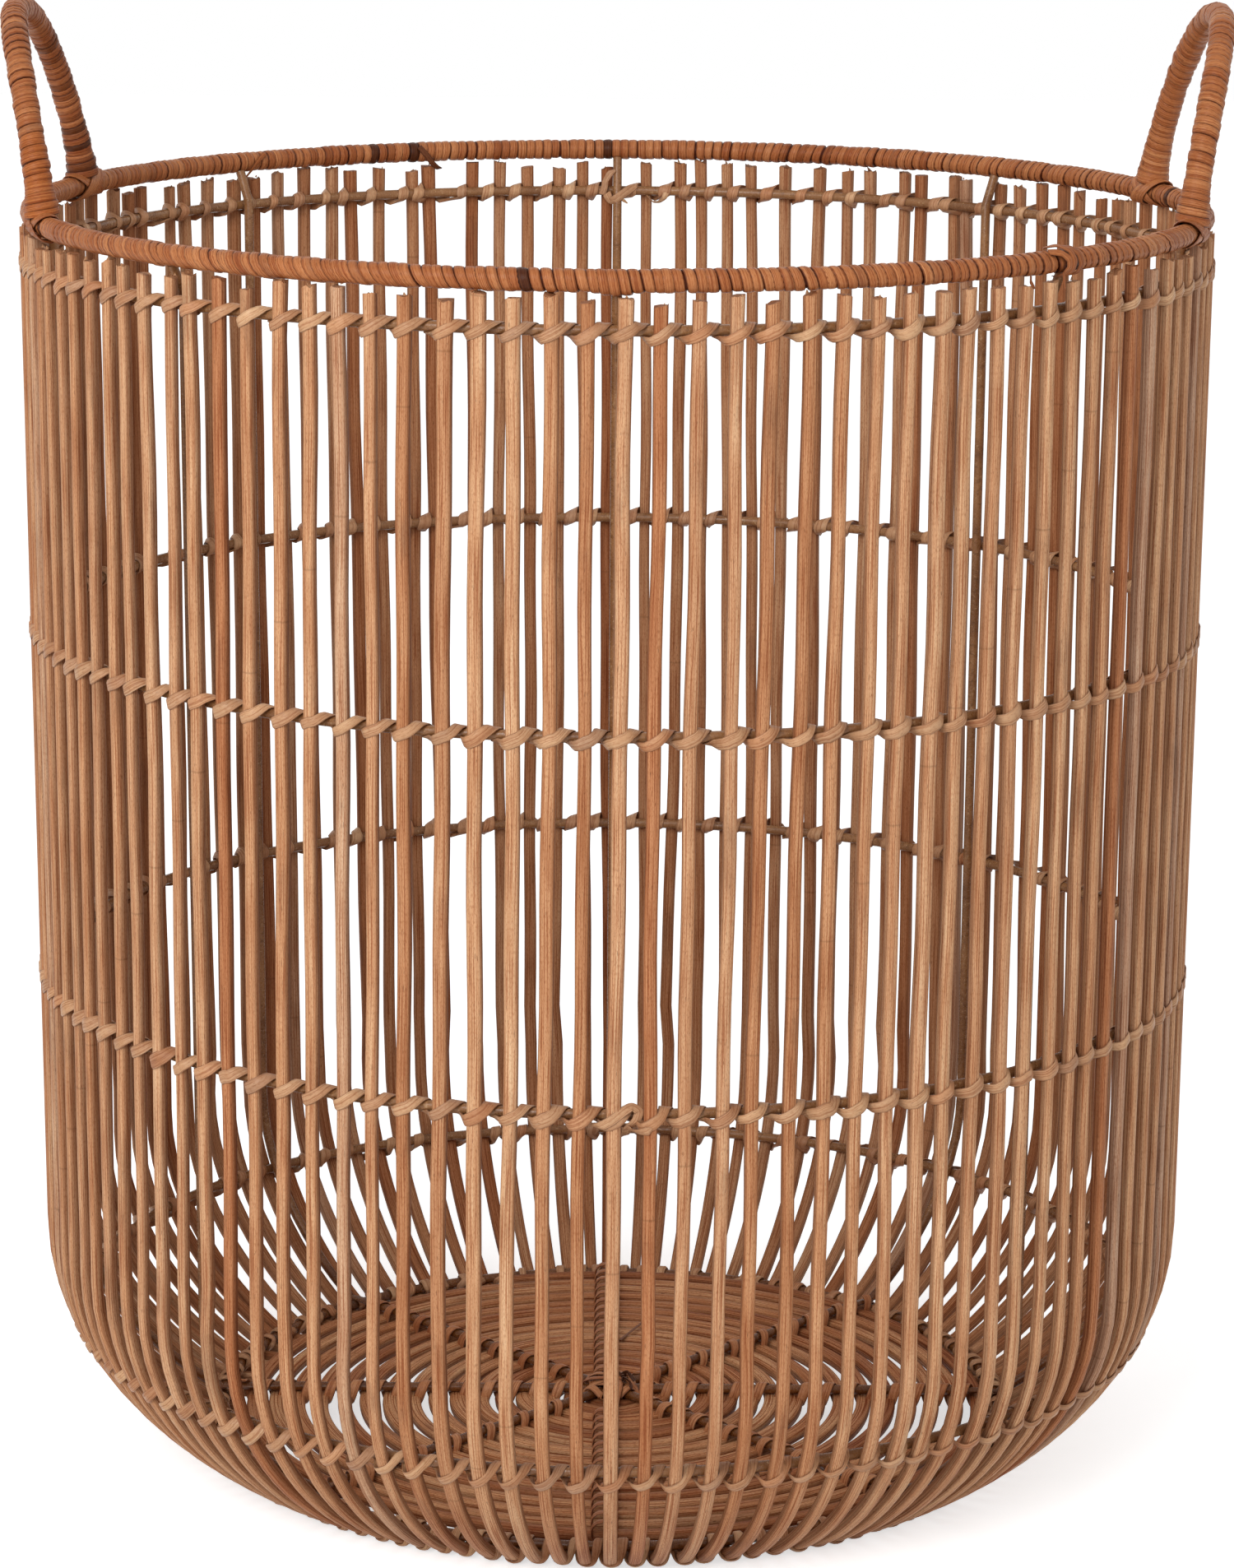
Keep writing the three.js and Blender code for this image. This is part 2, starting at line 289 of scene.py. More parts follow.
tree, size = start_tree("wires_round_an_axis", {"Wire diameter": 0.004, "Wire corners": 10, "Wire count": 8})
bent = add_node(tree, "GeometryNodeMeshToCurve", {"Mesh": size["Geometry"]})
wire = add_node(tree, "GeometryNodeCurveToMesh",
                {"Curve": bent, "Profile Curve": wire_section(tree, size), "Fill Caps": True})
hub = add_node(tree, "GeometryNodePoints", {"Count": size["Wire count"]})
step = calc(tree, "DIVIDE", 2 * math.pi, size["Wire count"])
turn = vector(tree, Z=times(tree, add_node(tree, "GeometryNodeInputIndex"), step))
wires = add_node(tree, "GeometryNodeInstanceOnPoints", {
    "Points": hub, "Instance": wire, "Rotation": add_node(tree, "FunctionNodeEulerToRotation", {0: turn})})
make_piece("upright_wires", end_tree(tree, wires, size["Finish"]),
           {"Wire diameter": upright_diameter, "Wire count": upright_count, "Finish": bronze_wire},
           [f"upright_{n + 1}" for n in range(upright_count)], upright_path)


# Floor: one long cane wound into a flat spiral under the spokes and tied up to them. It is stained
# redder than the wall, and its outermost turns are the darkest.
coil_loops, coil_outer_radius, coil_inner_radius = 15.3, 0.1525, 0.011
coil_cane_width, coil_cane_thickness, coil_steps, coil_sway = 0.0060, 0.0044, 1800, 0.0003
thick_inside, thick_range, thickening = 0.085, 0.05, 0.22
coil_pitch = (coil_outer_radius - coil_inner_radius) / coil_loops
coil_height = upright_depth - upright_diameter / 2 - clearance - coil_cane_thickness / 2
straight_up = np.array([0, 0, 1.0])


def around(radius, angle, height):
    """Points at a distance from the basket's axis, at an angle round it and at a height."""
    return np.stack(np.broadcast_arrays(radius * np.cos(angle), radius * np.sin(angle), height), axis=1)


def unit(rows):
    """Rows of vectors, each brought to length one."""
    return rows / np.linalg.norm(rows, axis=-1, keepdims=True)


def strand(points, face, tone=0.5, size=1.0, closed=False, start=0.0, cut=0.0):
    """One strand: its points, where its face looks, its tone, its relative thickness and how
    ragged its far end is cut."""
    run = np.roll(points, -1, axis=0) - np.roll(points, 1, axis=0) if closed else np.gradient(points, axis=0)
    run = unit(run)
    face = unit(face - run * (face * run).sum(axis=1, keepdims=True))
    steps = np.linalg.norm(np.diff(points, axis=0), axis=1)
    along = start + np.concatenate([[0], np.cumsum(steps)])
    tone, size = np.broadcast_to(tone, len(points)), np.broadcast_to(size, len(points))
    ragged = np.zeros(len(points))
    ragged[-1] = cut
    return points, face, along, tone, size, ragged, closed


def strand_mesh(name, strands):
    """The middle lines of strands as a mesh of edges, which carries what their sweep needs."""
    edges, first = [], 0
    for points, *_, closed in strands:
        count = len(points)
        edges += [(first + n, first + n + 1) for n in range(count - 1)]
        if closed:
            edges.append((first + count - 1, first))
        first += count
    points, face, *values = (np.concatenate([row[n] for row in strands]) for n in range(6))
    mesh = bpy.data.meshes.new(name)
    mesh.from_pydata(points.tolist(), edges, [])
    mesh.attributes.new("face", "FLOAT_VECTOR", "POINT").data.foreach_set("vector", face.ravel())
    for label, row in zip(("along", "tone", "size", "ragged"), values):
        mesh.attributes.new(label, "FLOAT", "POINT").data.foreach_set("value", row)
    return mesh


def read_value(tree, name, kind="FLOAT"):
    """A named value that a mesh carries, inside a geometry tree."""
    return add_node(tree, "GeometryNodeInputNamedAttribute", {"Name": name}, data_type=kind)


def squared(tree, value, squareness):
    """A round section's coordinate pushed towards a square one, keeping its sign."""
    pushed = calc(tree, "POWER", calc(tree, "ABSOLUTE", value), squareness)
    return times(tree, pushed, calc(tree, "SIGN", value))


# One tree sweeps every cane and peel strip: a flattened round section, carried along the strand
# with its face kept to the outside, and torn at the far end where the strand is cut.
tree, size = start_tree("swept_strand", {"Width": 0.005, "Thickness": 0.004, "Rise": 0.5,
                                         "Corners": 10, "Squareness": 0.7})
lines = add_node(tree, "GeometryNodeMeshToCurve", {"Mesh": size["Geometry"]})
faced = add_node(tree, "GeometryNodeSetCurveNormal",
                 {"Curve": lines, "Normal": read_value(tree, "face", "FLOAT_VECTOR")}, mode="FREE")
circle = add_node(tree, "GeometryNodeCurvePrimitiveCircle", {"Resolution": size["Corners"], "Radius": 1.0})
marked = add_node(tree, "GeometryNodeStoreNamedAttribute", {
    "Geometry": circle, "Name": "across",
    "Value": add_node(tree, "GeometryNodeSplineParameter").outputs["Factor"]}, data_type="FLOAT")
corner = add_node(tree, "ShaderNodeSeparateXYZ", {0: add_node(tree, "GeometryNodeInputPosition")}).outputs
out = calc(tree, "MULTIPLY_ADD", squared(tree, corner["Y"], size["Squareness"]), 0.5, size["Rise"])
side = times(tree, squared(tree, corner["X"], size["Squareness"]), -0.5)
section = vector(tree, X=times(tree, out, size["Thickness"]), Y=times(tree, side, size["Width"]))
flattened = add_node(tree, "GeometryNodeSetPosition", {"Geometry": marked, "Position": section})
swept = add_node(tree, "GeometryNodeCurveToMesh", {
    "Curve": faced, "Profile Curve": flattened, "Scale": read_value(tree, "size"), "Fill Caps": True})
tear = add_node(tree, "FunctionNodeRandomValue", {2: -0.9, 3: 0.3, "Seed": 5}).outputs[1]
cut_side = calc(tree, "COSINE", times(tree, read_value(tree, "across"), 2 * math.pi))
cut_slope = times(tree, calc(tree, "SINE", times(tree, read_value(tree, "tone"), 40.0)), 0.5)
tear = calc(tree, "MULTIPLY_ADD", cut_side, cut_slope, tear)
torn = vector(tree, Z=times(tree, tear, read_value(tree, "ragged")))
ended = add_node(tree, "GeometryNodeSetPosition", {"Geometry": swept, "Offset": torn})
strand_tree = end_tree(tree, ended, size["Finish"])


def lay_strands(name, strands, finish, width, thickness, replaced=(), rise=0.5, corners=6,
                squareness=0.6):
    """Strands of one section as one piece. Their line is the inner face at rise 0.5, the middle
    at 0 and the outer face at -0.5."""
    sizes = {"Width": width, "Thickness": thickness, "Rise": rise, "Corners": corners,
             "Squareness": squareness, "Finish": finish}
    make_piece(name, strand_tree, sizes, replaced, strand_mesh(f"{name}_lines", strands))


def fibre_finish(name, tones, girth, edge_from, edge_shade, lines=0.5, gloss=0.55, shine=0.12,
                 inside=(0.8, 0.74, 0.7), joints=0.0):
    """Cane or peel: fine dark and pale fibres along the strand, short pores, cloudy stains and a
    tone of its own for each strand or turn. Painted shade darkens the edges, and the side towards
    the hoop is darker, partly its own colour and partly painted shade."""
    finish, tree, surface = start_finish(name)
    along, across, tone = (
        add_node(tree, "ShaderNodeAttribute", attribute_name=label).outputs["Fac"]
        for label in ("along", "across", "tone"))

    def fibres(fine, long, detail, roughness=0.5):
        """Noise stretched along the strand, so many metres wide and long."""
        place = vector(tree, X=times(tree, across, girth / fine), Y=times(tree, along, 1 / long))
        return noise(tree, place, 1.0, detail, roughness)

    toned = add_node(tree, "ShaderNodeValToRGB", {"Fac": tone})
    stops = toned.color_ramp.elements
    stops.remove(stops[1])
    for count, (place, *card) in enumerate(tones):
        stop = stops.new(place) if count else stops[0]
        stop.color = paint(*card)
    deep = blend(tree, 1.0, toned, paint(194, 158, 130), "MULTIPLY")
    line = fibres(0.00035, 0.045, 2.0, 0.6)
    grain = fibres(0.00030, 0.0014, 2.0)
    rows = [(fibres(0.006, 0.03, 3.0), 0.35, 0.7, 0.45, deep),
            (fibres(0.0010, 0.07, 2.0), 0.45, 0.68, 0.6 * lines, deep),
            (grain, 0.5, 0.62, 0.75 * lines, deep),
            (line, 0.475, 0.42, 0.6 * lines, paint(205, 222, 238), "OVERLAY"),
            (line, 0.53, 0.575, 1.1 * lines, paint(180, 132, 100), "MULTIPLY"),
            (fibres(0.00040, 0.0034, 1.0), 0.69, 0.72, 0.85 * lines, paint(84, 50, 32)),
            (fibres(0.009, 0.05, 4.0, 0.6), 0.58, 0.72, 0.4, paint(112, 80, 60))]
    if joints:
        passed = calc(tree, "FRACT", calc(tree, "DIVIDE", along, joints))
        from_joint = calc(tree, "ABSOLUTE", calc(tree, "SUBTRACT", passed, 0.5))
        rows.append((from_joint, 0.0006 / joints, 0.0, 0.35, paint(110, 70, 44)))
    turned = times(tree, across, 2 * math.pi)
    to_edge = calc(tree, "ABSOLUTE", calc(tree, "COSINE", turned))
    # painted shade along each strand's edges, where it meets its neighbours
    rows += [(to_edge, edge_from, 1.0, edge_shade, paint(104, 64, 44), "MULTIPLY"),
             # the side towards the hoop is darker: partly the split face's own colour, partly painted shade
             (calc(tree, "SINE", turned), 0.1, -0.5, 1.0, (*inside, 1), "MULTIPLY")]
    relief = calc(tree, "SUBTRACT", times(tree, grain, 0.35), line)
    bump = add_node(tree, "ShaderNodeBump", {"Height": relief, "Strength": 0.45, "Distance": 0.0004})
    set_inputs(tree, surface, {
        "Base Color": coats(tree, toned, rows), "Specular IOR Level": shine, "Normal": bump,
        "Roughness": rescale(tree, line, 0.3, 0.7, gloss - 0.06, gloss + 0.1)})
    return finish


rng = np.random.default_rng(41)
floor_cane = fibre_finish(
    "floor_cane", [(0, 218, 160, 114), (0.3, 200, 136, 90), (0.5, 222, 168, 122), (0.7, 204, 144, 100),
                   (0.85, 180, 119, 78), (1, 166, 105, 68)],
    girth=0.017, edge_from=0.78, edge_shade=0.34, lines=0.8)
first_turn = -0.9
coil_turns = first_turn + (coil_loops - first_turn) * np.linspace(0, 1, coil_steps) ** (2 / 3)
coil_radius = coil_inner_radius + coil_pitch * coil_turns
coil_angle = 2 * np.pi * coil_turns
coil_wave = coil_sway * np.sin(coil_angle * 5.3) + coil_sway * np.sin(coil_angle * 2.1)
coil_dip = coil_sway * np.sin(coil_angle * 3.7) - 0.0002
coil_points = around(coil_radius + coil_wave, coil_angle, coil_height + coil_dip)
outer_tones = (0.9, 0.85, 0.95)
turn_tones = rng.random(int(coil_loops) + len(outer_tones))
turn_tones[-len(outer_tones):] = outer_tones
coil_tone = np.interp(coil_turns, np.arange(len(turn_tones)), turn_tones)
near_middle = np.clip((thick_inside - coil_radius) / thick_range, 0, 1)
coil_girth = 1 + 0.05 * np.sin(coil_angle * 1.3) + thickening * near_middle
lay_strands("floor_spiral_cane", [strand(coil_points, straight_up, coil_tone, coil_girth)],
            floor_cane, coil_cane_width, coil_cane_thickness, ["floor_coil"],
            rise=0.0, corners=12, squareness=0.58)


# Spoke ties: a strip of cane peel is wound along each spoke. It passes over the wire between two
# turns of the spiral and under the next turn, so it shows from above as small collars.
peel_thickness, tie_steps = 0.0008, 14
collar_reach, collar_swell, pair_spread, pair_rise = 0.0027, 0.0009, 0.0018, 0.0006
stack_bottom, stack_top = coil_height - coil_cane_thickness / 2, upright_depth + upright_diameter / 2
floor_peel = fibre_finish(
    "floor_peel", [(0, 206, 146, 102), (0.45, 190, 128, 84), (0.8, 176, 112, 72), (0.9, 120, 76, 50),
                   (1, 84, 52, 36)],
    girth=0.0085, edge_from=0.86, edge_shade=0.7, gloss=0.42, shine=0.2, inside=(0.8, 0.72, 0.66))


def ways(angle):
    """The level directions away from the basket's axis and sideways, at an angle round it."""
    outward = np.array([math.cos(angle), math.sin(angle), 0])
    return outward, np.array([-outward[1], outward[0], 0])


def wind(centre, first, second, reach_first, reach_second, turned):
    """Points wound round a middle line, at given angles, and the direction in which each looks."""
    out_first, out_second = np.cos(turned), np.sin(turned)
    points = (centre + first * (reach_first * out_first)[:, None]
              + second * (reach_second * out_second)[:, None])
    face = first * (out_first * reach_second)[:, None] + second * (out_second * reach_first)[:, None]
    return points, unit(face)


spoke_ties = []
for spoke in range(upright_count):
    outward, sideways = ways(spoke * 2 * math.pi / upright_count)
    passed = spoke / upright_count
    loops = int(coil_loops - passed)
    share = np.arange(loops * tie_steps + 1) / tie_steps
    jitter = np.interp(share, np.arange(loops + 2), rng.normal(0, 0.0004, loops + 2))
    from_middle = coil_inner_radius + coil_pitch * (passed + share + 0.5) + jitter
    doubled = abs(outward[1]) > 0.9  # the spokes at the front and the back have two strips
    middle = outward * from_middle[:, None] + straight_up * ((stack_bottom + stack_top) / 2)
    middle[:, 0] -= pair_spread * doubled
    swelling = collar_swell * np.cos(2 * np.pi * (share + 0.5)) ** 2
    reach_aside = (collar_reach + pair_spread * doubled) + swelling
    reach_up = (stack_top - stack_bottom) / 2 + 0.0001 + pair_rise * doubled
    points, face = wind(middle, sideways, straight_up, reach_aside, reach_up, math.pi / 2 - 2 * np.pi * share)
    spoke_ties.append(strand(points, face, 0.8 * rng.random(), start=spoke * 2.0))
lay_strands("spoke_ties", spoke_ties, floor_peel, 0.0042, peel_thickness)


# Middle knot: where the eight spokes meet, peel is woven over and under them in two rounds, and
# a few ends are crossed over the joint. Some dry ends stand up, and one torn fibre has fallen aside.
ring_radii, weave_height, strip_fall, end_steps = (0.0070, 0.0102), 0.0026, 0.0060, 13
knot = []
for lift, radius in enumerate(ring_radii):
    angle = 2 * np.pi * np.linspace(0, 1, 96, endpoint=False)
    weave = np.cos(upright_count / 2 * angle + lift * np.pi)
    points = around(radius, angle, upright_depth + weave_height * weave)
    face = around(0.3, angle, np.sign(weave + 0.01))
    knot.append(strand(points, face, rng.random(), closed=True))
crossed_strips = (  # degrees, half length, distance from the middle and height over the spokes
    (20, 0.0128, 0.0018, 0.0009), (58, 0.0115, -0.0030, 0.0015), (97, 0.0138, 0.0010, 0.0021),
    (128, 0.0106, 0.0034, 0.0012), (160, 0.0128, -0.0015, 0.0027), (8, 0.0095, -0.0042, 0.0033))
for degrees, half_length, offset, rise in crossed_strips:
    outward, sideways = ways(math.radians(degrees))
    reach = np.linspace(-1, 1, 15)
    points = outward * (reach * half_length)[:, None]
    points[:, 2] = stack_top + rise - strip_fall * np.abs(reach) ** 4
    points -= sideways * (offset + 0.0020 * np.sin(reach * 3 + degrees))[:, None]
    knot.append(strand(points, straight_up, 0.8 * rng.random(), 0.95))
dry_ends = (  # points in mm
    ((3, -2, 14), (6, -3, 17), (8, -6, 16), (9, -9, 14)),
    ((2, 0, 14), (4, 1, 17), (7, 1, 18), (10, -1, 15)),
    ((-4, 2, 15), (-1, 3, 18), (3, 2, 18), (6, -4, 16)))
for keys in dry_ends:
    even, turning = np.linspace(0, len(keys) - 1, end_steps), np.linspace(0, 4, end_steps)
    points = np.stack([np.interp(even, range(len(keys)), row) for row in np.array(keys).T / 1000], axis=1)
    face = np.stack([np.sin(turning), -np.cos(turning), np.cos(turning) + 1.2], axis=1)
    knot.append(strand(points, face, 0.97, np.linspace(0.9, 0.35, end_steps)))
fallen_fibre = np.linspace((0.004, 0.062, 0.0098), (0.015, 0.084, 0.0110), 8)
knot.append(strand(fallen_fibre, straight_up, 0.88, 0.4))
lay_strands("middle_knot", knot, floor_peel, 0.0034, peel_thickness)


# Wall canes: 112 split canes stand side by side round the hoops. Each is bent in at the knee over
# steam and ends in a flat foot under the base ring; the tops are cut off by hand, so they are ragged.
wall_cane = fibre_finish(
    "wall_cane", [(0, 206, 168, 140), (0.12, 224, 176, 134), (0.35, 210, 155, 112), (0.55, 226, 179, 138),
                  (0.75, 198, 142, 100), (0.88, 202, 142, 99), (1, 190, 127, 85)],
    girth=0.0165, edge_from=0.76, edge_shade=0.42, lines=0.6, joints=0.43)
cane_width, cane_top, cane_pitch = 0.0052, rim_height - 0.006, 2 * math.pi / cane_count
foot_length, foot_lift, cage_twist, panel_count = 0.010, 0.0002, 0.0030, 28
lean_spread, shift_spread, bow_spread, cut_spread, wave_size = 0.0013, 0.0005, 0.0006, 0.0012, 0.00025
cane_rng = np.random.default_rng(7)
to_back = (1 + np.sin(cane_pitch * np.arange(cane_count))) / 2
cane_lean = cane_rng.normal(0, lean_spread, cane_count) * (0.8 + 1.2 * to_back)
cane_shift = cane_rng.normal(0, shift_spread, cane_count) * (1 + 2 * to_back)
cane_bow = cane_rng.normal(0, bow_spread, cane_count)
cane_cut = cane_rng.normal(0, cut_spread, cane_count).clip(-0.0035, 0.0016)
cane_tone = cane_rng.random(cane_count) * 0.999
cane_tear = cane_rng.uniform(0.0005, 0.0015, cane_count)
cane_size = cane_rng.normal(0.97, 0.05, cane_count).clip(0.86, 1.08)
cane_phase = cane_rng.uniform(0, 2 * np.pi, (cane_count, 2))


def cane_sideways(cane, height):
    """How far a cane stands aside from its even place, at a height on the wall."""
    climb = np.clip((height - knee_height) / (cane_top - knee_height), 0, 1.1)
    wave = wave_size * (np.sin(9 * climb + cane_phase[cane, 0]) + np.sin(23 * climb + cane_phase[cane, 1]))
    leaning = cage_twist * climb + cane_lean[cane] * (climb - 0.3) * (climb > 0)
    return cane_shift[cane] + leaning + cane_bow[cane] * np.sin(np.pi * climb) + wave * (climb > 0)


foot_places = [foot_place(radius) for radius in (foot_radius - foot_length, foot_radius - foot_length / 2)]
knee_places = [knee_place(share) for share in np.linspace(0, 1, 17)]
wall_heights = np.linspace(knee_height, cane_top, 23)[1:]
canes = []
for cane in range(cane_count):
    heights = wall_heights + (wall_heights == wall_heights[-1]) * cane_cut[cane]
    outline = [*foot_places, *knee_places, *(wall_place(height) for height in heights)]
    at, along = (np.array(rows) for rows in zip(*outline))
    flat = np.clip((at[:, 0] - foot_radius) / 0.045, 0, 1)
    height = at[:, 1] + foot_lift * (1 - flat * flat * (3 - 2 * flat))
    angle = cane * cane_pitch + cane_sideways(cane, height) / at[:, 0]
    girth = cane_size[cane] * (1 + 0.025 * np.sin(height * 60 + cane_phase[cane, 0]))
    girth[-1] *= 1.05
    canes.append(strand(around(at[:, 0], angle, height), around(along[:, 1], angle, -along[:, 0]),
                        cane_tone[cane], girth, start=cane * 1.7, cut=cane_tear[cane]))
lay_strands("wall_canes", canes, wall_cane, cane_width, cane_thickness,
            [f"cane_panel_{n + 1}" for n in range(panel_count)], rise=-0.5, corners=12, squareness=0.72)


# Splinters: raw fibres that the knife left standing on the tops of the canes. They are part of the
# cane itself and paler than its skin.
tree, size = start_tree("splinters", {"Per cane": 3, "Length": 0.0013, "Thickness": 0.0009,
                                      "Spread": 0.0017, "Seed": 3})
tops = add_node(tree, "GeometryNodeMeshToPoints", {"Mesh": size["Geometry"]})
many = add_node(tree, "GeometryNodeDuplicateElements",
                {"Geometry": tops, "Amount": size["Per cane"]}, domain="POINT")


def chance(tree, low, high, seed):
    """A fixed random vector for each splinter."""
    inputs = {0: low, 1: high, "Seed": seed}
    return add_node(tree, "FunctionNodeRandomValue", inputs, data_type="FLOAT_VECTOR")


seeds = [calc(tree, "ADD", size["Seed"], salt) for salt in (0.0, 1.0, 2.0)]
scatter = add_node(tree, "ShaderNodeVectorMath", {
    0: chance(tree, (-1, -1, -0.6), (1, 1, 0.1), seeds[0]), "Scale": size["Spread"]}, operation="SCALE")
scattered = add_node(tree, "GeometryNodeSetPosition", {"Geometry": many, "Offset": scatter})
sliver = add_node(tree, "GeometryNodeMeshCone", {
    "Vertices": 4, "Radius Top": 0.0001, "Radius Bottom": times(tree, size["Thickness"], 0.5),
    "Depth": size["Length"]})
lean_ways = add_node(tree, "FunctionNodeEulerToRotation",
                     {0: chance(tree, (-0.45, -0.45, -3), (0.45, 0.45, 3), seeds[1])})
slivers = add_node(tree, "GeometryNodeInstanceOnPoints", {
    "Points": scattered, "Instance": sliver, "Rotation": lean_ways,
    "Scale": chance(tree, (0.7, 0.7, 0.4), (1.8, 1.8, 1.2), seeds[2])})
splinter_tree = end_tree(tree, slivers, size["Finish"])

raw_fibre, tree, surface = start_finish("raw_fibre")
cloud = noise(tree, add_node(tree, "ShaderNodeTexCoord").outputs["Object"], 160.0)
set_inputs(tree, surface, {"Base Color": blend(tree, cloud, paint(140, 96, 64), paint(196, 148, 106)),
                           "Roughness": 0.75})
cut_mesh = bpy.data.meshes.new("cane_cuts")
cuts = [points[-1] - face[-1] * cane_thickness / 2 for points, face, *_ in canes]
cut_mesh.from_pydata([cut.tolist() for cut in cuts], [], [])
make_piece("cane_splinters", splinter_tree, {"Per cane": 1, "Finish": raw_fibre}, (), cut_mesh)


# Hoop ties: one strip of peel to each hoop. It crosses a cane's face from lower left to upper
# right, goes over the hoop, down behind it and out again to the next cane. The same lashing holds
# the canes' feet to the base ring.
tie_keys = np.array([  # aside, outwards, upwards in mm, where the strip's face looks, and its relative width
    (-4.9, 2.2, -3.0, -0.9, 0.2, -0.5, 1.0),
    (-3.6, 5.6, -2.6, -0.5, 0.85, -0.15, 1.0),
    (-1.9, 6.95, -1.8, -0.12, 1.0, 0.0, 1.1),
    (0.2, 7.15, -0.7, 0.0, 1.0, 0.0, 1.15),
    (2.2, 6.7, 0.5, 0.2, 1.0, 0.05, 1.1),
    (3.8, 4.8, 1.6, 0.45, 0.85, 0.3, 1.05),
    (5.0, 2.0, 2.4, 0.2, 0.45, 0.9, 1.1),
    (5.9, -1.3, 1.8, 0.0, -0.6, 0.8, 1.3),
    (6.4, -2.2, -0.2, 0.0, -1.0, -0.1, 1.35),
    (7.0, -0.8, -2.3, -0.1, -0.4, -0.9, 1.2),
])
band_keys = tie_keys.copy()  # on the two middle hoops the strip runs straighter
band_keys[:7, 2] = (-2.4, -2.2, -1.5, -0.5, 0.6, 1.8, 2.9)
band_keys[1:6, 1] = (5.2, 6.95, 7.1, 6.9, 5.4)
foot_keys = np.array([  # the same, at a foot, where outwards is down and upwards is away from the middle
    (-3.7, 0.6, -2.7, 0.0, 0.0, -1.0, 1.2),
    (-3.3, 3.8, 1.6, -0.8, 0.5, 0.1, 1.1),
    (-2.3, 5.0, 4.7, -0.6, 0.85, 0.4, 1.0),
    (0.0, 5.5, 5.8, 0.0, 1.0, 0.5, 1.0),
    (2.3, 4.8, 6.2, 0.5, 0.8, 0.6, 1.1),
    (3.2, 3.1, 5.8, 0.6, 0.2, 1.0, 1.25),
    (3.9, 0.0, 3.9, 0.1, 0.0, 1.0, 1.4),
    (4.3, -2.4, 1.7, 0.0, -0.9, 0.5, 1.4),
    (4.6, -2.5, -0.8, 0.0, -1.0, -0.3, 1.3),
    (4.9, -1.4, -2.6, 0.0, -0.3, -1.0, 1.2),
])


def smooth_loop(points, face, tones, sizes):
    """A closed strand with one more point between every two, on a curve through them all."""
    def between(rows):
        before, after, beyond = (np.roll(rows, places, axis=0) for places in (1, -1, -2))
        middle = (9 * (rows + after) - before - beyond) / 16
        return np.stack([rows, middle], axis=1).reshape(-1, rows.shape[1])
    return strand(between(points), between(face), np.repeat(tones, 2), np.repeat(sizes, 2), closed=True)


def lashing(place, seed, pattern):
    """The strip that ties every cane to one ring, as a closed strand."""
    (radius, height), (run_out, run_up) = place
    tie_rng = np.random.default_rng(seed)
    keys, tones, sizes = [], [], []
    for cane in range(cane_count):
        turn = pattern.copy()
        turn[:, 0] = turn[:, 0] / 1000 + cane_sideways(cane, height)
        turn[:, 1:3] /= 1000
        turn[1:6, 2] += tie_rng.normal(0, 0.0004)
        turn[1:4, 2] += tie_rng.normal(0, 0.0003)
        keys.append(np.column_stack([np.full(len(turn), cane * cane_pitch), turn]))
        tones += [tie_rng.random()] * len(turn)
        sizes.append(turn[:, 6] * np.clip(tie_rng.normal(1, 0.1), 0.8, 1.25))
    angle, aside, out, up, look_side, look_out, look_up, _ = np.concatenate(keys).T
    angle = angle + aside / (radius + out)
    points = around(radius + run_up * out + run_out * up, angle, height - run_out * out + run_up * up)
    look_level = run_up * look_out + run_out * look_up
    face = np.stack([look_level * np.cos(angle) - look_side * np.sin(angle),
                     look_level * np.sin(angle) + look_side * np.cos(angle),
                     run_up * look_up - run_out * look_out], axis=1)
    return smooth_loop(points, unit(face), np.array(tones), np.concatenate(sizes))


tie_peel = fibre_finish(
    "tie_peel", [(0, 208, 164, 124), (0.35, 194, 147, 110), (0.6, 218, 175, 134), (0.8, 200, 145, 104),
                 (1, 190, 149, 116)],
    girth=0.0085, edge_from=0.93, edge_shade=0.45, lines=0.4, gloss=0.42, shine=0.2, inside=(0.92, 0.86, 0.80))
tie_rows = zip(hoop_places, (0.0036, 0.0040, 0.0042, 0.0036), (tie_keys, band_keys, band_keys, tie_keys))
for row, (place, width, pattern) in enumerate(tie_rows):
    lay_strands(f"hoop_{row + 1}_ties", [lashing(place, 100 + row, pattern)], tie_peel,
                width, peel_thickness, rise=0.0)
lay_strands("foot_ties", [lashing(base_ring_place, 120, foot_keys)], tie_peel,
            0.0028, 0.0010, rise=0.0)


# Rim: a wire ring padded round, with peel wound tightly over it, turn beside turn. The turns are
# redder and glossier than the canes, and a darker one comes now and then.
rim_turns, rim_steps, rim_peel_width = 380, 12, 0.0040
crown, shingle, peel_bed, rim_slack, strip_hang = 0.0013, 0.05, 0.6, 0.00014, 0.0014
rim_peel = fibre_finish(
    "rim_peel", [(0, 174, 98, 44), (0.1, 194, 126, 79), (0.3, 178, 110, 65), (0.55, 198, 132, 84),
                 (0.75, 174, 104, 60), (0.92, 138, 79, 42), (1, 88, 47, 22)],
    girth=0.010, edge_from=0.66, edge_shade=0.95, lines=0.55, gloss=0.36, shine=0.14, inside=(1, 1, 1))
core_sizes = {"Ring radius": rim_radius, "Ring height": rim_height,
              "Wire diameter": 2 * (rim_wrap_radius - crown * peel_bed), "Finish": rim_peel}
make_piece("rim_core", ring_tree, core_sizes, ["rim_wire"])
share = np.arange(rim_turns * rim_steps) / (rim_turns * rim_steps)
turned = -np.pi / 2 - 2 * np.pi * rim_turns * share
rim_rng = np.random.default_rng(23)


def closed_random(values):
    """Random values spread evenly round the rim and joined smoothly."""
    return np.interp(share * len(values), np.arange(len(values) + 1), np.append(values, values[0]))


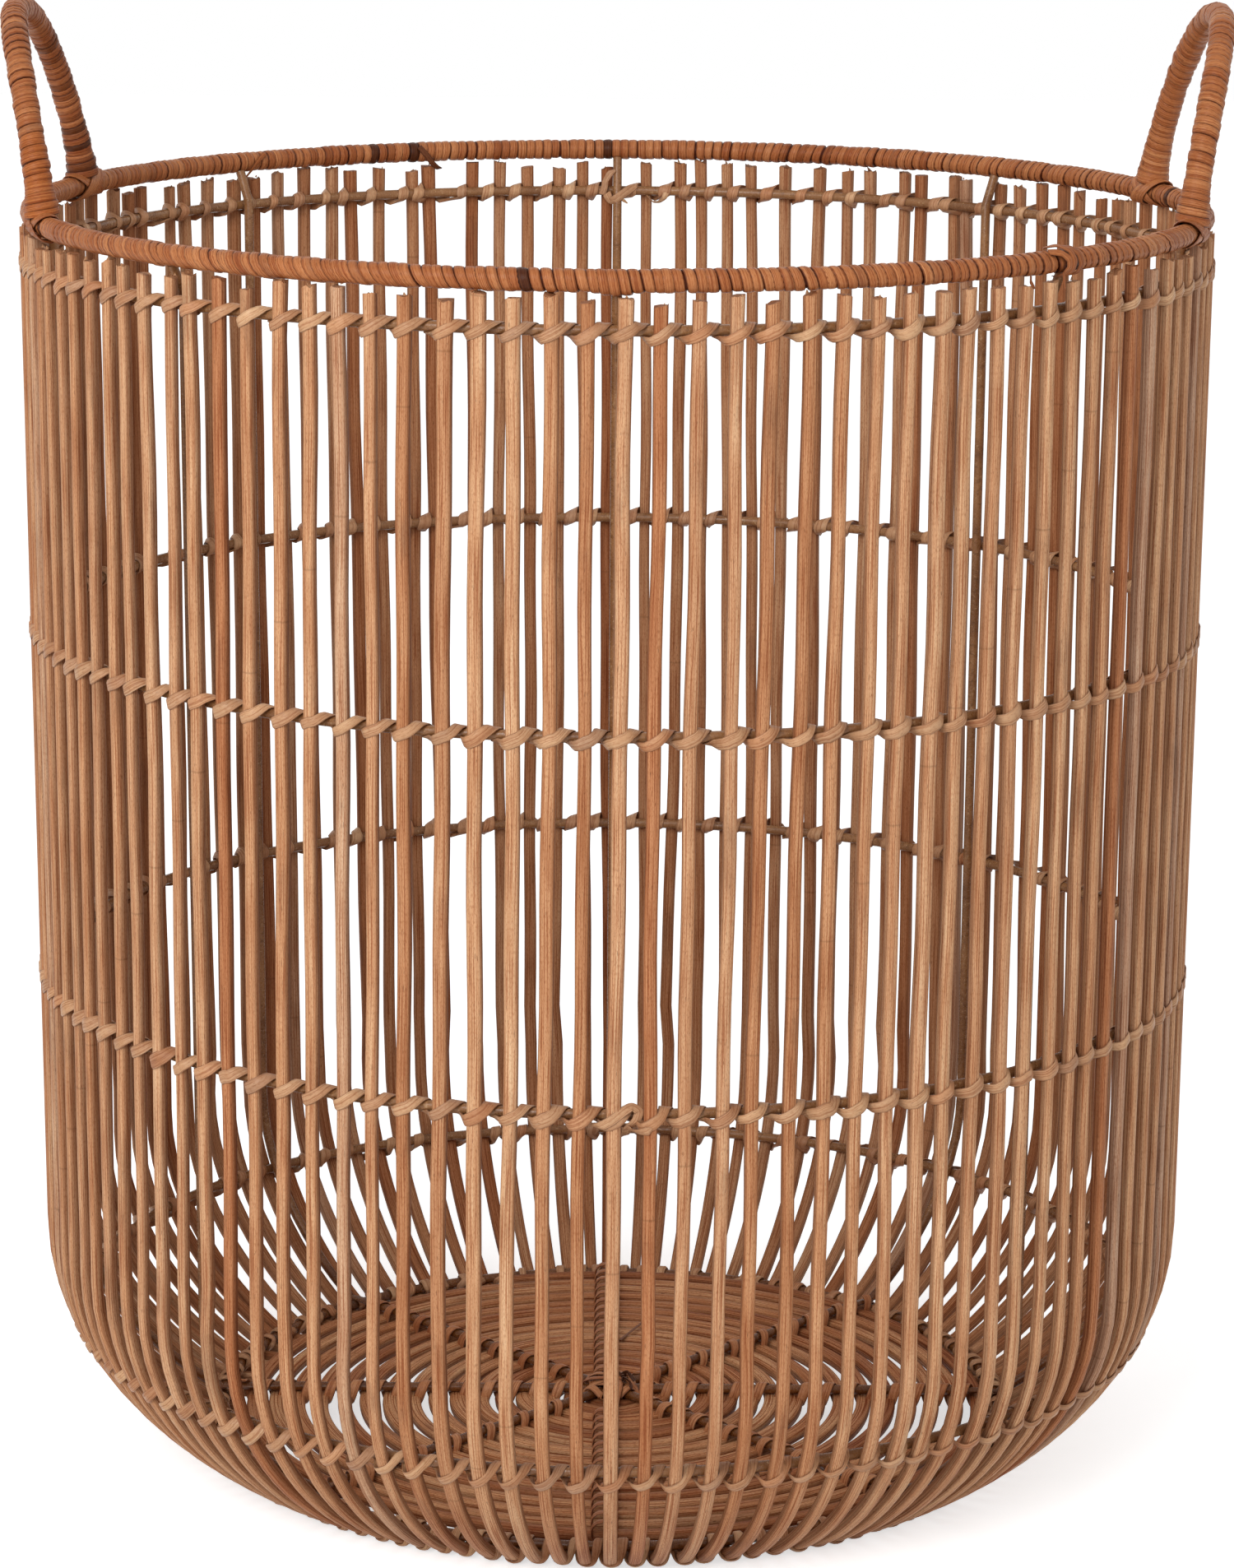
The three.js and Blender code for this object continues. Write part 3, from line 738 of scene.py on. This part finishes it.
shuffle = closed_random(rim_rng.normal(0, 0.00045, rim_turns))
slant = closed_random(rim_rng.uniform(0.0, 0.95, 26))
swell = closed_random(rim_rng.normal(0, rim_slack, rim_turns))
hanging = np.exp(-((share - 0.75) * rim_turns / 1.6) ** 2) * np.clip(-np.sin(turned), 0, 1)  # at the front
reach = rim_wrap_radius - crown + swell + strip_hang * hanging
angle = 2 * np.pi * share + (shuffle - slant * reach * np.sin(turned)) / rim_radius
outward = around(1, angle, 0)
rim_line = outward * rim_radius + straight_up * rim_height
points, face = wind(rim_line, outward, straight_up, reach, reach, turned)
face += shingle * np.cross(straight_up, outward)
turn_count = np.arange(rim_turns)
# painted shade: the turns at the back of the rim, seen from inside, are made darker
rear_shade = np.sin(2 * np.pi * turn_count / rim_turns).clip(0, 1)
turn_tones = 0.42 + 0.12 * np.sin(turn_count / 9) + rim_rng.normal(0, 0.10, rim_turns) + 0.22 * rear_shade
turn_tones = turn_tones.clip(0.12, 0.85)
dark_turns = [int(rim_turns * (degrees % 360) / 360) for degrees in (-98.4, -45.1, 118, 113, 91, 12, 200)]
turn_tones[dark_turns] = 1.0
rim_winding = strand(points, face, np.repeat(turn_tones, rim_steps), closed=True)
lay_strands("rim_wound_peel", [rim_winding], rim_peel, rim_peel_width, crown, ["rim_wrap"],
            corners=10, squareness=0.85)


# Handles: two bowed rods stand on the rim and are wound with the same peel. Near its feet each
# grows thicker, where the ends of the winding are bound in.
handle_half_angle, handle_top, handle_spread = math.radians(18), rim_height + 0.0745, 0.005
handle_swing_power, handle_lift_power, handle_radius = 0.82, 1.4, 0.005
handle_foot = rim_height + rim_wrap_radius * math.sin(math.pi / 3) + clearance
handle_steps, handle_peel_length, end_turns = 12, 0.279, 9
flare_length, flare_size, flare_power = 0.026, 0.0019, 1.6
rod_diameter = 2 * (handle_radius - crown * peel_bed)


def handle_line(shares, side):
    """Points along the middle of a handle, at shares of the way from foot to foot."""
    bow = np.linspace(0, np.pi, 900)
    swing = np.sign(np.cos(bow)) * np.abs(np.cos(bow)) ** handle_swing_power
    lift = np.clip(np.sin(bow), 0, 1) ** handle_lift_power
    fine = around(side * (rim_radius + handle_spread * lift), handle_half_angle * swing,
                  handle_foot + (handle_top - handle_foot) * lift)
    run = np.concatenate([[0], np.cumsum(np.linalg.norm(np.diff(fine, axis=0), axis=1))])
    reached = run[-1] * shares
    return np.stack([np.interp(reached, run, row) for row in fine.T], axis=1), reached


for side, name, handle_turns in ((1, "right", 76), (-1, "left", 90)):
    handle_rng = np.random.default_rng(60 + side)
    turn_widths = handle_rng.uniform(0.65, 1.4, handle_turns)
    turn_widths[:end_turns] *= 0.75
    turn_widths[-end_turns:] *= 0.75
    turn_widths /= turn_widths.mean()
    turn_starts = np.concatenate([[0], np.cumsum(turn_widths)]) / handle_turns
    whole_turns = np.arange(handle_turns + 1)
    turn_count = np.arange(handle_turns * handle_steps + 1) / handle_steps
    middle, run = handle_line(np.interp(turn_count, whole_turns, turn_starts), side)
    tangent = unit(np.gradient(middle, axis=0))
    away = unit(middle * [1, 1, 0])
    away = unit(away - tangent * (away * tangent).sum(axis=1, keepdims=True))
    from_foot = np.minimum(run, run[-1] - run)
    flare = flare_size * np.clip(1 - from_foot / flare_length, 0, 1) ** flare_power
    rough = np.interp(turn_count, whole_turns, handle_rng.normal(0, 0.00012, handle_turns + 1))
    reach = handle_radius - crown + flare + rough
    points, face = wind(middle, away, np.cross(tangent, away), reach, reach, -side * 2 * np.pi * turn_count)
    face += shingle * tangent
    tone = np.repeat(0.2 + 0.4 * handle_rng.random(handle_turns + 1), handle_steps)[:len(run)]
    if name == "left":  # painted shade darkens its back leg, and its front foot has redder peel
        tone += 0.42 * np.clip(middle[:, 1] / 0.04, 0, 1)
        tone[(middle[:, 1] < 0) & (from_foot < 0.03)] *= 0.08
    girth = np.interp(turn_count, whole_turns[:-1] + 0.5, turn_widths) ** 0.6
    lay_strands(f"handle_{name}_wound_peel", [strand(points, face, tone, girth)], rim_peel,
                handle_peel_length / handle_turns, crown, [f"handle_wrap_{name}"],
                corners=10, squareness=0.9)
    rod = strand(middle[::7], away[::7], 0.4, 1 + flare[::7] / handle_radius)
    lay_strands(f"handle_{name}_rod", [rod], rim_peel, rod_diameter, rod_diameter,
                [f"handle_core_{name}"], rise=0.0, corners=12, squareness=1.0)


# Handle bindings: at each foot the peel is carried crosswise round the rim on both sides of the
# handle, so the turns cross in front and behind and pull the foot down on the rim.
binding_loops, binding_cross, binding_step = 4, 0.0080, 0.0024
binding_peel = fibre_finish(
    "binding_peel", [(0, 204, 136, 84), (0.5, 186, 116, 68), (0.8, 168, 100, 56), (1, 112, 66, 40)],
    girth=0.008, edge_from=0.86, edge_shade=0.7, gloss=0.4, shine=0.14, inside=(0.8, 0.72, 0.66))
bindings = []
for foot in range(4):
    side, way = (1, -1)[foot // 2], (1, -1)[foot % 2]
    outward, sideways = ways((0 if side > 0 else math.pi) + way * side * handle_half_angle)
    for lean, lies_out in ((1, 0.0001), (-1, 0.0007)):
        share = np.linspace(0, binding_loops, binding_loops * 20)
        turned = -2 * np.pi * share * lean
        shift = lean * binding_cross * np.sin(turned) + (share - binding_loops / 2) * binding_step
        middle = outward * rim_radius + straight_up * rim_height + sideways * shift[:, None]
        middle -= outward * (shift ** 2 / (2 * rim_radius))[:, None]
        reach = rim_wrap_radius + lies_out
        points, face = wind(middle, outward, straight_up, reach, reach, turned)
        bindings.append(strand(points, face, 0.7 * rng.random() + 0.01 * share, start=foot))
lay_strands("handle_foot_bindings", bindings, binding_peel, 0.0031, peel_thickness, squareness=0.7)


# Loose ends: where a strip ran out, the next one was laid in and both ends were left standing, some
# folded over, some hanging from the rim. Each is drawn as it lies against its ring.
rim_ends = [  # angle on the rim, tone, relative width, and points as aside, outwards and upwards in mm
    (-46.2, 0.75, 1.0, ((-6.5, -1, 5.0), (-2.5, 1.5, 6.0), (1.5, 4.6, 4.2), (2.9, 6.0, 0.4),
                        (2.2, 5.2, -3.4), (0, 2.5, -5.2), (-1.5, -1, -5.2))),
    (-46.2, 0.6, 1.0, ((-7.5, 2.6, 4.0), (-3, 4.6, 3.6), (0, 5.8, 1.2), (0.3, 5.8, -1.6),
                       (-1.5, 4.2, -4.2), (-3, 1, -5.2))),
    (-46.2, 0.85, 1.0, ((0.5, -1, 5.2), (3.5, 2.6, 5.0), (6.0, 5.0, 2.6), (6.8, 5.8, -1.0),
                        (6.0, 4.6, -4.0), (3.5, 1, -5.4))),
    (-46.2, 0.8, 0.45, ((-2.2, 5.2, -3.4), (-2.5, 5.6, -6.0), (-1.8, 5.4, -8.4), (-1.2, 5.2, -9.4))),
    (-50.5, 0.9, 0.4, ((-0.5, 4.0, -3.4), (-0.8, 4.4, -5.6), (0.4, 4.6, -7.4), (1.4, 4.2, -8.0))),
    (111.0, 1.0, 0.8, ((6, -4.2, 2.6), (3, -5.0, -1), (0, -4.6, -4.8), (-2.6, -3.4, -6.8),
                       (-4.6, -2.6, -7.0))),
    (133.5, 0.8, 0.6, ((-6, -3.6, 3.2), (-2, -4.8, 1), (2, -4.8, -3), (4, -4.0, -5.4), (5, -3.2, -7))),
    (31.0, 0.95, 0.45, ((2, -3.6, -2.6), (1, -4.6, -5), (-1, -5.0, -7.0), (-3.4, -5.0, -8.4))),
    (163.5, 0.5, 0.6, ((-3, 4.0, 2.8), (-4, 5.4, 5.5), (-6, 5.8, 8.5), (-7.4, 5.2, 10.5))),
    (-163.0, 0.8, 0.6, ((-5, 4.2, 3.4), (-6, 5.2, 0), (-5.0, 5.4, -4.4), (-4.4, 5.2, -8.4))),
    (18.5, 0.9, 0.45, ((2, -3.0, 4.4), (1, -5.0, 6.4), (-1.2, -5.6, 9.4), (-3.6, -5.2, 10.6),
                       (-4.2, -5.0, 12.6))),
]
top_hoop_ends = [  # the same, at the back of the top hoop
    (90, 0.95, 0.95, ((6.4, -2.8, -1.4), (5.6, -3.2, 1.4), (5.2, -3.6, 4.4), (3.4, -4.0, 7.6),
                      (0.9, -4.2, 9.0))),
    (90, 0.4, 1.25, ((4.6, -3.4, -1.0), (3.0, -5.6, -3.8), (0.8, -6.6, -3.2), (-0.9, -6.8, -1.8),
                     (-4.0, -5.0, 0.2), (-7.0, -1.2, 1.9), (-8.4, 0.4, 2.2))),
    (90, 0.6, 0.5, ((-0.6, -6.4, -2.2), (-2.6, -5.6, -3.6), (-4.4, -5.0, -5.0))),
    (90, 0.6, 0.8, ((-21.6, 0.4, 2.6), (-21.4, -2.4, 0.4), (-20.2, -2.8, -2.8), (-17.8, -2.6, -4.6),
                    (-15.2, -2.0, -4.6), (-13.4, -0.4, -2.4), (-12.6, 0.4, -1.0))),
]
third_hoop_ends = [  # the same, at the front of the third hoop
    (-90, 0.15, 1.15, ((-6.6, 3.0, -3.3), (-4.1, 7.2, -2.3), (0.0, 8.1, 0.2), (4.2, 6.0, 3.1),
                       (7.0, 3.6, 4.2), (9.8, 3.4, 2.4), (8.8, 3.8, -1.2), (5.1, 3.2, -4.1),
                       (4.2, 3.0, -4.8))),
    (-90, 0.3, 1.1, ((3.8, 2.8, -2.8), (7.4, 3.2, -4.8), (9.8, 5.4, -5.0), (12.4, 7.9, -3.9),
                     (14.2, 7.6, -2.8))),
]


def loose_end(place, degrees, tone, width, keys):
    """One end of a strip, laid through its points and cut to a point."""
    (radius, height), (run_out, run_up) = place
    stops, even = np.arange(len(keys)), np.linspace(0, len(keys) - 1, 6 * len(keys))
    aside, out, up = (np.interp(even, stops, row) for row in np.array(keys).T / 1000)
    for _ in range(3):
        for row in (aside, out, up):
            row[1:-1] = (row[:-2] + 2 * row[1:-1] + row[2:]) / 4
    angle = math.radians(degrees) + aside / (radius + out)
    points = around(radius + run_up * out + run_out * up, angle, height - run_out * out + run_up * up)
    near = np.clip(3 - np.hypot(out, up) / 0.003, 0, 1)
    taper = np.interp(even, [0, len(keys) - 1.8, len(keys) - 1], [1, 0.9, 0.35])
    return strand(points, around(out, angle, up * near), tone, width * taper)


rim_place = np.array([rim_radius, rim_height]), np.array([0, 1.0])
hoop_rows = ((hoop_places[0], top_hoop_ends), (hoop_places[2], third_hoop_ends))
for name, finish, rows in (("rim", binding_peel, ((rim_place, rim_ends),)), ("hoop", tie_peel, hoop_rows)):
    loose = [loose_end(place, *end) for place, ends in rows for end in ends]
    lay_strands(f"{name}_loose_ends", loose, finish, 0.0032, 0.0006, rise=0.0, squareness=0.7)


# Floor and light: the basket stands on a plain white studio floor under two large soft lamps. The
# camera sees floor and background as white, and the floor keeps the basket's shadow.
floor_glow, room_light = 0.62, 0.53
floor_mesh = bpy.data.meshes.new("studio_floor")
floor_mesh.from_pydata([(-6, -6, 0), (6, -6, 0), (6, 6, 0), (-6, 6, 0)], [], [(0, 1, 2, 3)])
floor = bpy.data.objects.new("studio_floor", floor_mesh)
bpy.context.collection.objects.link(floor)


def seen(tree):
    """One for what the camera sees, also in metal and through glass, and nought for cast light."""
    path = add_node(tree, "ShaderNodeLightPath").outputs
    straight_or_mirrored = calc(tree, "MAXIMUM", path["Is Camera Ray"], path["Is Glossy Ray"])
    return calc(tree, "MAXIMUM", straight_or_mirrored, path["Is Transmission Ray"])


floor_finish, tree, surface = start_finish("white_floor")
set_inputs(tree, surface, {"Base Color": (0.8, 0.8, 0.8, 1), "Roughness": 0.9, "Emission Color": (1, 1, 1, 1),
                           "Emission Strength": times(tree, seen(tree), floor_glow)})
floor_mesh.materials.append(floor_finish)

world = bpy.data.worlds.new("studio")
bpy.context.scene.world = world
world.use_nodes = True
tree = world.node_tree
set_inputs(tree, tree.nodes["Background"], {
    "Color": (1, 1, 1, 1), "Strength": rescale(tree, seen(tree), 0.0, 1.0, room_light, 1.0)})

for name, place, width, power in (("key", (-0.9, -2.1, 1.6), 1.3, 40), ("fill", (1.2, -1.8, 1.3), 1.6, 3)):
    lamp = bpy.data.objects.new(f"{name}_lamp", bpy.data.lights.new(f"{name}_lamp", "AREA"))
    lamp.data.size, lamp.data.energy = width, power
    lamp.location = place
    lamp.rotation_euler = (Vector((0, 0, 0.25)) - Vector(place)).to_track_quat("-Z", "Y").to_euler()
    bpy.context.collection.objects.link(lamp)

bpy.context.scene.view_settings.view_transform = "Standard"
